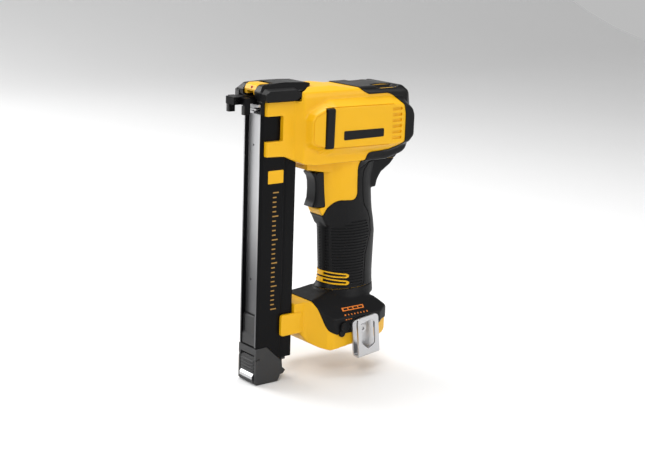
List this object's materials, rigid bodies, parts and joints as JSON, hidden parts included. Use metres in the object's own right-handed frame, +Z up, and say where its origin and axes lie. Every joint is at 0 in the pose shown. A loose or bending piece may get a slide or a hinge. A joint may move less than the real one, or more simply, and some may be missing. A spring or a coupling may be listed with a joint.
{
  "type": "cordless cable stapler",
  "caption": "Pistol-grip cordless cable stapler with a long vertical staple magazine, trigger, contact trip, battery foot and side belt hook, opened as a working assembly.",
  "frame": {"origin": "on the flat closed end of the magazine, on the magazine's long axis", "axes": "+Z up along the magazine towards the nose, -X the way the nose points, -Y the side with the belt hook"},
  "size_m": [0.1865, 0.0818, 0.2686],
  "materials": {
    "yellow_plastic": "fine moulded texture, satin",
    "black_plastic": "fine moulded texture, satin",
    "soft_rubber": "matt soft overmould",
    "grey_plastic": "satin",
    "black_coated_steel": "satin black coating",
    "bright_steel": "satin",
    "spring_steel": "drawn wire",
    "zinc_steel": "zinc plated",
    "cast_aluminium": "die cast",
    "brass": "machined",
    "sintered_steel": "sintered, oiled",
    "red_plastic": "satin",
    "board_green": "coated board"
  },
  "bodies": {
    "tool_body": {"housing_left": "yellow_plastic", "housing_right": "yellow_plastic", "rear_guard": "black_plastic", "front_hood": "black_plastic", "side_rub_bars": "black_plastic", "grip_rubber": "soft_rubber", "grip_inserts": "yellow_plastic", "foot_cover": "soft_rubber", "battery_terminal_block": "black_plastic", "battery_contacts": "brass", "control_board": "board_green", "belt_hook": "bright_steel", "belt_hook_screw": "bright_steel", "hook_inserts": "brass", "housing_screws": "zinc_steel", "magazine_channel": "black_coated_steel", "nose_block": "black_plastic", "nose_plate": "bright_steel", "trip_spring": "spring_steel", "lever_pin": "bright_steel", "trigger_spring": "spring_steel", "trigger_switch": "black_plastic", "motor_can": "zinc_steel", "motor_magnets": "sintered_steel", "motor_bearings": "bright_steel", "shaft_bushings": "brass", "gear_frame_left": "cast_aluminium", "gear_frame_right": "cast_aluminium", "drive_front_wall": "cast_aluminium", "spring_seat": "cast_aluminium", "guide_rod": "bright_steel", "drive_spring": "spring_steel", "bumper": "soft_rubber"},
    "trigger": {"trigger": "black_plastic"},
    "contact_trip": {"contact_trip": "black_coated_steel"},
    "release_lever": {"release_lever": "yellow_plastic"},
    "magazine_slide": {"magazine_rail": "bright_steel", "rail_foot": "grey_plastic", "magazine_end_cap": "black_plastic", "latch_pin": "bright_steel", "latch_spring": "spring_steel", "pusher_rod": "bright_steel", "pusher_spring": "spring_steel", "staple_strip": "bright_steel"},
    "magazine_latch": {"magazine_latch": "black_plastic"},
    "staple_pusher": {"staple_pusher": "red_plastic"},
    "motor_rotor": {"motor_rotor": "sintered_steel", "cooling_fan": "black_plastic", "motor_pinion": "sintered_steel"},
    "countershaft": {"countershaft": "sintered_steel", "reduction_gear": "sintered_steel"},
    "lifter": {"lifter_wheel": "sintered_steel", "lifter_gear": "sintered_steel", "lifter_shaft": "bright_steel"},
    "driver": {"driver_carriage": "cast_aluminium", "driver_blade": "bright_steel"}
  },
  "joints": [
    {"name": "trigger_pull", "type": "slide", "parent": "tool_body", "child": "trigger", "axis": [1, 0, 0], "range_m": [0, 0.006], "stiffness_N_per_m": 600, "springref_m": -0.01, "deforming": ["trigger_spring"]},
    {"name": "contact_trip_press", "type": "slide", "parent": "tool_body", "child": "contact_trip", "axis": [1, 0, 0], "range_m": [0, 0.008], "stiffness_N_per_m": 400, "springref_m": -0.02, "deforming": ["trip_spring"]},
    {"name": "release_lever_lift", "type": "hinge", "parent": "tool_body", "child": "release_lever", "pos_m": [-0.009, 0, 0.263], "axis": [0, 1, 0], "range_deg": [0, 75]},
    {"name": "magazine_open", "type": "slide", "parent": "tool_body", "child": "magazine_slide", "axis": [0, 0, -1], "range_m": [0, 0.15]},
    {"name": "magazine_latch_squeeze", "type": "hinge", "parent": "magazine_slide", "child": "magazine_latch", "pos_m": [-0.0146, 0, 0.02], "axis": [0, -1, 0], "range_deg": [0, 9], "stiffness_Nm_per_rad": 0.3, "springref_deg": -17.19, "deforming": ["latch_spring"]},
    {"name": "pusher_travel", "type": "slide", "parent": "magazine_slide", "child": "staple_pusher", "axis": [0, 0, -1], "range_m": [0, 0.045], "stiffness_N_per_m": 60, "springref_m": -0.05, "deforming": ["pusher_spring"]},
    {"name": "motor_spin", "type": "hinge", "parent": "tool_body", "child": "motor_rotor", "pos_m": [0.118, 0, 0.229], "axis": [0, 1, 0], "continuous": true},
    {"name": "countershaft_spin", "type": "hinge", "parent": "tool_body", "child": "countershaft", "pos_m": [0.08853, 0, 0.23173], "axis": [0, 1, 0], "continuous": true},
    {"name": "lifter_spin", "type": "hinge", "parent": "tool_body", "child": "lifter", "pos_m": [0.06, 0, 0.2196], "axis": [0, 1, 0], "continuous": true},
    {"name": "driver_stroke", "type": "slide", "parent": "tool_body", "child": "driver", "axis": [1, 0, 0], "range_m": [0, 0.034], "stiffness_N_per_m": 2500, "springref_m": -0.02, "deforming": ["drive_spring"]}
  ],
  "couplings": [
    {"joint": "countershaft_spin", "follows": "motor_spin", "ratio": -0.19355},
    {"joint": "lifter_spin", "follows": "motor_spin", "ratio": 0.046452}
  ]
}
